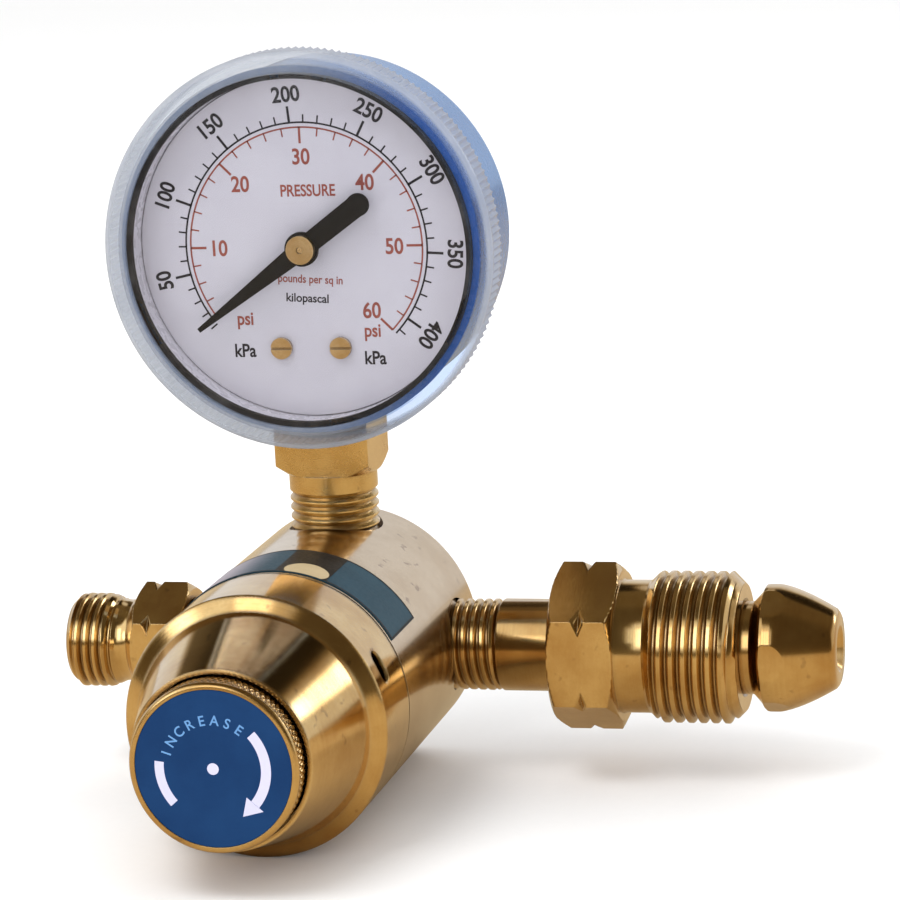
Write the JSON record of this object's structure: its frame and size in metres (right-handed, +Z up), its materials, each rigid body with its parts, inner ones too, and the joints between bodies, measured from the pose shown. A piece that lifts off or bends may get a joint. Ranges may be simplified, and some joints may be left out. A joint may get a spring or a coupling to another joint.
{
  "type": "gas regulator",
  "caption": "Adjustable single-stage LP-gas regulator: round brass body with knob, dial pressure gauge on top, bull-nose inlet nut and threaded hose outlet.",
  "frame": {"origin": "on the axis of the inlet nut where its full thread ends, a point of the bottle connection", "axes": "+Z up towards the gauge, +X out of the inlet, -Y out of the adjusting knob"},
  "size_m": [0.1176, 0.081, 0.1098],
  "materials": {
    "brass": "bright turned brass",
    "satin_brass": "satin turned brass",
    "steel": "drawn spring steel",
    "rubber": "moulded rubber",
    "blue_paint": "gloss blue paint",
    "clear_lens": "clear polycarbonate with a ribbed rim",
    "white_paint": "white dial with printed scales",
    "black_paint": "matt black",
    "blue_label": "blue printed label",
    "teal_label": "teal printed label"
  },
  "bodies": {
    "regulator": {"adjusting_spring": "steel", "body_label": "teal_label", "bonnet": "satin_brass", "bourdon_tube": "brass", "case_screws": "steel", "dial_screws": "brass", "diaphragm": "rubber", "gauge_case": "blue_paint", "gauge_dial": "white_paint", "gauge_lens": "clear_lens", "gauge_socket": "brass", "hairspring": "steel", "inlet_filter": "brass", "inlet_nipple": "brass", "lens_gasket": "rubber", "movement_back_plate": "brass", "movement_front_plate": "brass", "movement_pillars": "brass", "movement_screws": "steel", "nozzle_gasket": "rubber", "outlet_fitting": "brass", "plate_screws": "steel", "regulator_body": "satin_brass", "slip_ring": "brass", "valve_nozzle": "brass", "valve_spring": "steel"},
    "inlet_nut": {"inlet_nut": "brass"},
    "spring_button": {"upper_spring_seat": "brass"},
    "knob": {"adjusting_knob": "brass", "knob_label": "blue_label", "adjusting_screw": "brass", "stop_ring": "steel"},
    "diaphragm_plate": {"diaphragm_plate": "brass"},
    "valve": {"valve_stem": "brass", "valve_seat_disc": "rubber"},
    "pointer": {"pointer": "black_paint", "pointer_hub": "brass", "pinion_shaft": "brass"},
    "sector": {"sector_gear": "brass", "sector_arbor": "brass", "tail_pin": "brass"},
    "link": {"link": "brass"},
    "tube_end": {"tube_tip": "brass"}
  },
  "joints": [
    {"name": "inlet_nut_spin", "type": "hinge", "parent": "regulator", "child": "inlet_nut", "pos_m": [0, 0, 0], "axis": [1, 0, 0], "continuous": true},
    {"name": "screw_feed", "type": "slide", "parent": "regulator", "child": "spring_button", "axis": [0, 1, 0], "range_m": [-0.0004, 0.00437], "deforming": ["adjusting_spring"]},
    {"name": "knob_turn", "type": "hinge", "parent": "spring_button", "child": "knob", "pos_m": [-0.05995, -0.06, 0], "axis": [0, 1, 0], "range_deg": [-90.1, 990.1]},
    {"name": "diaphragm_lift", "type": "slide", "parent": "regulator", "child": "diaphragm_plate", "axis": [0, 1, 0], "range_m": [0, 0.0008], "deforming": ["diaphragm", "adjusting_spring"]},
    {"name": "valve_lift", "type": "slide", "parent": "regulator", "child": "valve", "axis": [0, 1, 0], "range_m": [0, 0.0008], "deforming": ["valve_spring"]},
    {"name": "pointer_turn", "type": "hinge", "parent": "regulator", "child": "pointer", "pos_m": [-0.05995, 0, 0.0615], "axis": [0, 1, 0], "range_deg": [0, 261], "deforming": ["hairspring"]},
    {"name": "sector_turn", "type": "hinge", "parent": "regulator", "child": "sector", "pos_m": [-0.05175, 0, 0.04701], "axis": [0, 1, 0], "range_deg": [-32.7, 0]},
    {"name": "link_swing", "type": "hinge", "parent": "sector", "child": "link", "pos_m": [-0.04886, 0, 0.04356], "axis": [0, 1, 0], "range_deg": [0, 30.3]},
    {"name": "tube_end_swing", "type": "hinge", "parent": "regulator", "child": "tube_end", "pos_m": [-0.05995, 0, 0.0615], "axis": [0, 1, 0], "range_deg": [-7.55, 0], "deforming": ["bourdon_tube"]}
  ],
  "couplings": [
    {"joint": "knob_turn", "follows": "screw_feed", "rad_per_m": 3957.9},
    {"joint": "valve_lift", "follows": "diaphragm_lift", "ratio": 1},
    {"joint": "sector_turn", "follows": "pointer_turn", "ratio": -0.125},
    {"joint": "link_swing", "follows": "pointer_turn", "ratio": 0.11574},
    {"joint": "tube_end_swing", "follows": "pointer_turn", "ratio": -0.028724}
  ]
}
